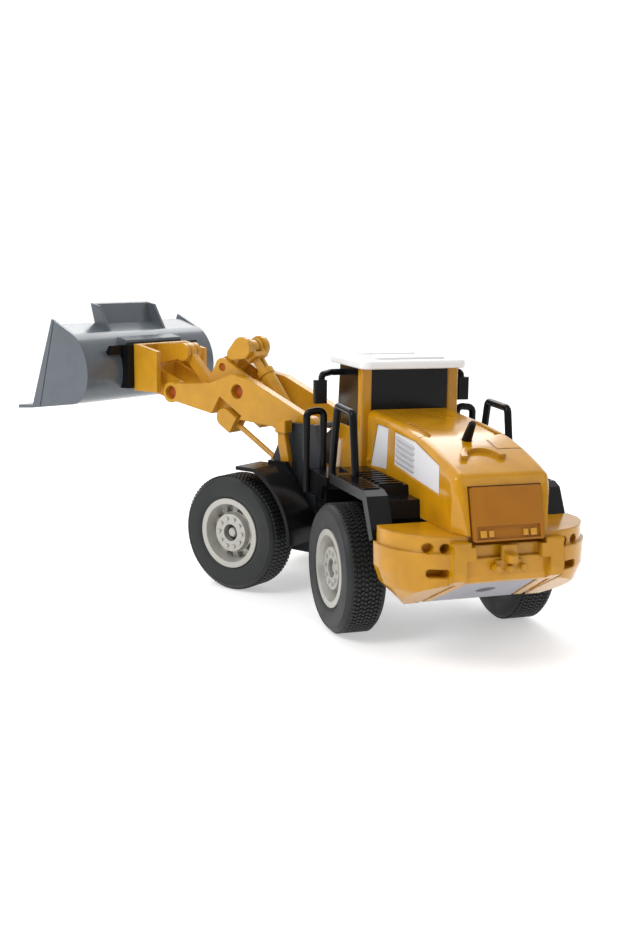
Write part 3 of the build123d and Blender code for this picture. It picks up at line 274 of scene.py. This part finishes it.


# ---------------------------------------------------------------- wheels
# TYRE_PROFILE holds (radius, distance outwards from the tyre's inner face). The dark disc of painted
# shade in the hub's well and HUB_CAP hold a distance from the machine's middle, a radius and a height.
# A lug's sizes are shares of its row's width and of the pitch.

AXLE_Z = 25.0
REAR_AXLE_X = 0.0
FRONT_AXLE_X = 51.4
TYRE_RADIUS = 25.0
TYRE_INNER_Y = 27.0
TYRE_STEPS = 144
TYRE_PROFILE = (
    (14.0, 1.2), (14.0, 14.4), (15.3, 14.5), (16.3, 15.3), (17.6, 15.55), (20.4, 15.72), (22.3, 15.6),
    (22.5, 15.75), (22.8, 15.72), (23.0, 15.45), (23.8, 14.9), (24.25, 13.9), (24.3, 12.8), (24.3, 3.0),
    (24.25, 1.9), (23.8, 0.9), (23.0, 0.35), (20.4, 0.05), (17.6, 0.25), (15.3, 0.8),
)
TREAD_ROWS = 8
TREAD_COUNT = 84
TREAD_START = 2.1
TREAD_WIDTH = 11.6
ROW_WIDTH = TREAD_WIDTH / TREAD_ROWS
PITCH = 2 * pi / TREAD_COUNT
LUG_ROOT = 24.0
LUG_TOP = TYRE_RADIUS - 0.02
LUG_SIDES = (0.12, 0.9)
LUG_LENGTH = 0.68
OUTER_LUG_LENGTH = 0.78
LUG_SKEW = 0.22
LUG_TAPER = 0.04
HUB_SHADE_DISC = (38.4, 3.6, 0.15)
HUB_CAP = (39.4, 1.9, 0.7)


def on_wheel(axle_x, sign, radius, angle, outwards):
    """A point at a radius and an angle about the axle, at a distance out from the tyre's inner face."""
    y = sign * (TYRE_INNER_Y + outwards)
    return Vector((axle_x + radius * cos(angle), y, AXLE_Z + radius * sin(angle)))


def tread_lug(shape, axle_x, sign, row, number):
    """One lug of the tread: a tapered block, skewed the other way in every second row."""
    odd = row % 2
    start = PITCH * (number + 0.5 * odd)
    skew = LUG_SKEW * PITCH if odd else -LUG_SKEW * PITCH
    length = OUTER_LUG_LENGTH if row in (0, TREAD_ROWS - 1) else LUG_LENGTH
    inner, outer = LUG_SIDES
    corners = ((0, inner, 0), (length, inner, 0), (length, outer, skew), (0, outer, skew))
    rings = []
    for radius, taper in ((LUG_ROOT, 0), (LUG_TOP, LUG_TAPER * PITCH)):
        ring = []
        for turn, across, bend in corners:
            angle = start + turn * PITCH + bend + (taper if turn == 0 else -taper)
            outwards = TREAD_START + (row + across) * ROW_WIDTH
            ring.append(on_wheel(axle_x, sign, radius, angle, outwards))
        rings.append(ring)
    shape.loft(rings)


def wheel(prefix, side, sign, axle_x, half, body):
    """A tyre turned from its profile, with staggered rows of lugs, a dark disc of painted shade in the
    hub's well, and the hub's cap.
    """
    shape = Shape()
    rings = []
    for i in range(TYRE_STEPS):
        angle = 2 * pi * i / TYRE_STEPS
        rings.append([on_wheel(axle_x, sign, radius, angle, out) for radius, out in TYRE_PROFILE])
    rings.append(rings[0])
    shape.loft(rings, capped=False)
    bmesh.ops.remove_doubles(shape.mesh, verts=shape.mesh.verts, dist=0.001)
    for row in range(TREAD_ROWS):
        for number in range(TREAD_COUNT):
            tread_lug(shape, axle_x, sign, row, number)
    piece = shape.finish(f"{prefix}_{side}_tyre_skin", half, body, RUBBER)
    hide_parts(f"{prefix}_{side}_tyre")

    # The well disc is painted shade inside the hub's well; the cap has the rim's own grey.
    for name, (y, radius, height), material in (("well_shade", HUB_SHADE_DISC, HUB_SHADE), ("cap", HUB_CAP, RIM)):
        hub = Shape()
        hub.disc((axle_x, sign * y, AXLE_Z), (0, sign, 0), radius, height)
        hub.finish(f"{prefix}_{side}_hub_{name}", half, body, material)


for side, sign in SIDES:
    wheel("rear", side, sign, REAR_AXLE_X, REAR, "rear_wheels")
    wheel("front", side, sign, FRONT_AXLE_X, FRONT, "front_wheels")

# ---------------------------------------------------------------- small details of the hood

HOOD_SIDE_Y = 18.0
SLATS = 5
SLAT_PITCH = 2.15
SLAT_WIDTH = 1.9
SLAT_HEIGHT = 0.45
SLAT_FRONT = Vector((-6.2, HOOD_SIDE_Y, 67.0))
SLAT_REAR = Vector((-24.4, HOOD_SIDE_Y, 65.4))
CATCH_PLACE = (21.2, HOOD_SIDE_Y + 0.5, 62.6)
CATCH_SIZE = (1.8, 1.2, 1.8)
LOUVRES = 8
LOUVRE_FRONT = (-8, 14.4, 80.45)
LOUVRE_REAR = (-26, 14.8, 78.6)
LOUVRE_SIZE = (1.4, 4.4, 0.7)
LOUVRE_LEAN = radians(6)
LOUVRE_ROLL = radians(16)

for side, sign in SIDES:
    slats = Shape()
    for i in range(SLATS):
        rise = Vector((0, 0, i * SLAT_PITCH))
        front_end = at_side(SLAT_FRONT + rise, sign)
        rear_end = at_side(SLAT_REAR + rise, sign)
        slats.ridge(front_end, rear_end, SLAT_WIDTH, SLAT_HEIGHT, (0, sign, 0))
    slats.finish(f"{side}_grille_slats", REAR, "rear_frame", SLAT)

    knob = Shape()
    knob.block(at_side(CATCH_PLACE, sign), CATCH_SIZE)
    knob.finish(f"{side}_hood_catch", REAR, "rear_frame", BODY, bevel=0.3)

    louvre = Shape()
    for i in range(LOUVRES):
        place = at_side(LOUVRE_FRONT, sign).lerp(at_side(LOUVRE_REAR, sign), i / (LOUVRES - 1))
        louvre.block(place, LOUVRE_SIZE, lean=LOUVRE_LEAN, roll=-sign * LOUVRE_ROLL)
    louvre.finish(f"{side}_hood_louvre", REAR, "rear_frame", BODY, bevel=0.2)

# ---------------------------------------------------------------- lamps and seam of the rear door

DOOR_LEAN = atan2(0.2487, 0.9686)
DOOR_MIDDLE = Vector((-62.35, 0, 58.2))
DOOR_UP = Vector((sin(DOOR_LEAN), 0, cos(DOOR_LEAN)))
DOOR_OUT = Vector((-cos(DOOR_LEAN), 0, sin(DOOR_LEAN)))
# Each lamp's distance from the door's middle line, width and height.
DOOR_LAMPS = ((9.4, 2.3, 2.4), (6.4, 1.8, 2.2))
LAMP_DEPTH = 0.8
LAMP_DROP = 8.0
SEAM_DEPTH = 0.3
SEAM_WIDTH = 0.4
SEAM_HEIGHT = 18.8
SEAM_LENGTH = 27.4
SEAM_SIDE_Y = 13.5
SEAM_SIDE_DROP = 1.2
SEAM_TOP = 8.2
SEAM_STAND = 0.05


def on_door(left, up, out):
    """A point on the leaning rear door, measured from its middle."""
    return DOOR_MIDDLE + Vector((0, left, 0)) + DOOR_UP * up + DOOR_OUT * out


lamps = Shape()
for sign in (-1, 1):
    for left, width, height in DOOR_LAMPS:
        place = on_door(sign * left, -LAMP_DROP, LAMP_DEPTH)
        lamps.block(place, (LAMP_DEPTH, width, height), lean=DOOR_LEAN)
lamps.finish("rear_door_lamps", REAR, "rear_frame", LAMP, bevel=0.25)

seam = Shape()
for sign in (-1, 1):
    place = on_door(sign * SEAM_SIDE_Y, -SEAM_SIDE_DROP, SEAM_STAND)
    seam.block(place, (SEAM_DEPTH, SEAM_WIDTH, SEAM_HEIGHT), lean=DOOR_LEAN)
seam.block(on_door(0, SEAM_TOP, SEAM_STAND), (SEAM_DEPTH, SEAM_LENGTH, SEAM_WIDTH), lean=DOOR_LEAN)
seam.finish("rear_door_seam", REAR, "rear_frame", DARK)

# ---------------------------------------------------------------- small details of the front half

# Dark discs of painted shade in the pin holes: each one's name, place on the left, radius and body.
PIN_SHADE_DISCS = (
    ("elbow", (69.6, 12.6, 82.6), 3.1, "lift_arms"),
    ("tip", (110.0, 12.8, 79.4), 2.95, "tool_carrier"),
    ("crank", (85.0, 6.4, 92.2), 1.6, "bellcrank"),
)
PIN_SHADE_HEIGHT = 0.25
HEADLIGHT = (40.2, 22.6, 70.75)
LENS_RADIUS = 1.5
LENS_HEIGHT = 0.5

for side, sign in SIDES:
    # Each disc is painted shade, laid into a pin hole on the arms, tool carrier or bellcrank.
    for name, place, radius, body in PIN_SHADE_DISCS:
        shade_disc = Shape()
        shade_disc.disc(at_side(place, sign), (0, sign, 0), radius, PIN_SHADE_HEIGHT)
        shade_disc.finish(f"{side}_{name}_pin_shade", FRONT, body, PIN_SHADE)
    lens = Shape()
    lens.disc(at_side(HEADLIGHT, sign), (1, 0, 0), LENS_RADIUS, LENS_HEIGHT)
    lens.finish(f"{side}_headlight_lens", FRONT, "front_frame", LAMP)

# ---------------------------------------------------------------- floor and backdrop
# The floor is in metres. The backdrop's strength runs from dim to bright along the X of a direction.

FLOOR_REACH = 6
FLOOR_DROP = 0.0002
FLOOR_GLOW = 0.45
BACKDROP_DIM = 0.42
BACKDROP_BRIGHT = 1.02
DIM_UNTIL_X = -0.7
BRIGHT_FROM_X = 0.5

floor_data = bpy.data.meshes.new("floor")
corners = [(2 * x * FLOOR_REACH, 2 * y * FLOOR_REACH, 0) for x, y in SQUARE]
floor_data.from_pydata(corners, [], [(0, 1, 2, 3)])
floor_material, _, floor_shader = new_material("floor_white")
floor_shader.inputs["Base Color"].default_value = (0.8, 0.8, 0.8, 1)
floor_shader.inputs["Emission Color"].default_value = (1, 1, 1, 1)
floor_shader.inputs["Emission Strength"].default_value = FLOOR_GLOW
floor_shader.inputs["Roughness"].default_value = 0.6
floor_shader.inputs["Specular IOR Level"].default_value = 0.1
floor_data.materials.append(floor_material)
floor = bpy.data.objects.new("floor", floor_data)
bpy.context.scene.collection.objects.link(floor)
floor.location.z = -FLOOR_DROP

# The studio is white ahead of the camera and dimmer behind it.
world = bpy.data.worlds.new("studio")
world.use_nodes = True
world_tree = world.node_tree
backdrop = world_tree.nodes["Background"]
backdrop.inputs["Color"].default_value = (1, 1, 1, 1)
direction = world_tree.nodes.new("ShaderNodeTexCoord")
split = world_tree.nodes.new("ShaderNodeSeparateXYZ")
falloff = world_tree.nodes.new("ShaderNodeMapRange")
falloff.interpolation_type = "SMOOTHSTEP"
falloff.inputs["From Min"].default_value = DIM_UNTIL_X
falloff.inputs["From Max"].default_value = BRIGHT_FROM_X
falloff.inputs["To Min"].default_value = BACKDROP_DIM
falloff.inputs["To Max"].default_value = BACKDROP_BRIGHT
world_tree.links.new(direction.outputs["Generated"], split.inputs["Vector"])
world_tree.links.new(split.outputs["X"], falloff.inputs["Value"])
world_tree.links.new(falloff.outputs["Result"], backdrop.inputs["Strength"])
bpy.context.scene.world = world
bpy.context.scene.view_settings.view_transform = "Standard"

# ---------------------------------------------------------------- lights
# A softbox has its offset from the lit point and its size in metres, and its power in watts.

LIT_POINT = REAR @ Vector((20, 20, 50))


def softbox(name, offset, size, power):
    """A square lamp at an offset from the lit point, turned towards it."""
    data = bpy.data.lights.new(name, "AREA")
    data.size = size
    data.energy = power
    light = bpy.data.objects.new(name, data)
    light.location = LIT_POINT + Vector(offset)
    light.rotation_euler = (-Vector(offset)).to_track_quat("-Z", "Y").to_euler()
    bpy.context.scene.collection.objects.link(light)


softbox("key", (-0.25, 0.6, 0.7), 0.35, 3.6)
softbox("fill", (-0.7, -0.5, 0.5), 0.4, 0.5)
softbox("glare", (0.58, -0.15, 0.54), 0.5, 2.6)

# ---------------------------------------------------------------- camera
# The camera's place is in the rear half's millimetres, and its angles are in radians.

CAMERA_PLACE = (-421.57, 185.88, 140.42)
CAMERA_YAW = -0.31204
CAMERA_PITCH = 0.1678
CAMERA_ROLL = 0.00952
SENSOR_HEIGHT = 36.0
FOCAL_LENGTH = 46.43071

camera_data = bpy.data.cameras.new("camera")
camera = bpy.data.objects.new("camera", camera_data)
bpy.context.scene.collection.objects.link(camera)
bpy.context.scene.camera = camera
camera_data.sensor_fit = "VERTICAL"
camera_data.sensor_height = SENSOR_HEIGHT
camera_data.lens = FOCAL_LENGTH
camera_data.clip_start = 0.01
camera_data.clip_end = 50
level = cos(CAMERA_PITCH)
sight = Vector((level * cos(CAMERA_YAW), level * sin(CAMERA_YAW), -sin(CAMERA_PITCH)))
camera.location = REAR @ Vector(CAMERA_PLACE)
aim = sight.to_track_quat("-Z", "Y").to_matrix() @ Matrix.Rotation(CAMERA_ROLL, 3, "Z")
camera.rotation_euler = aim.to_euler()
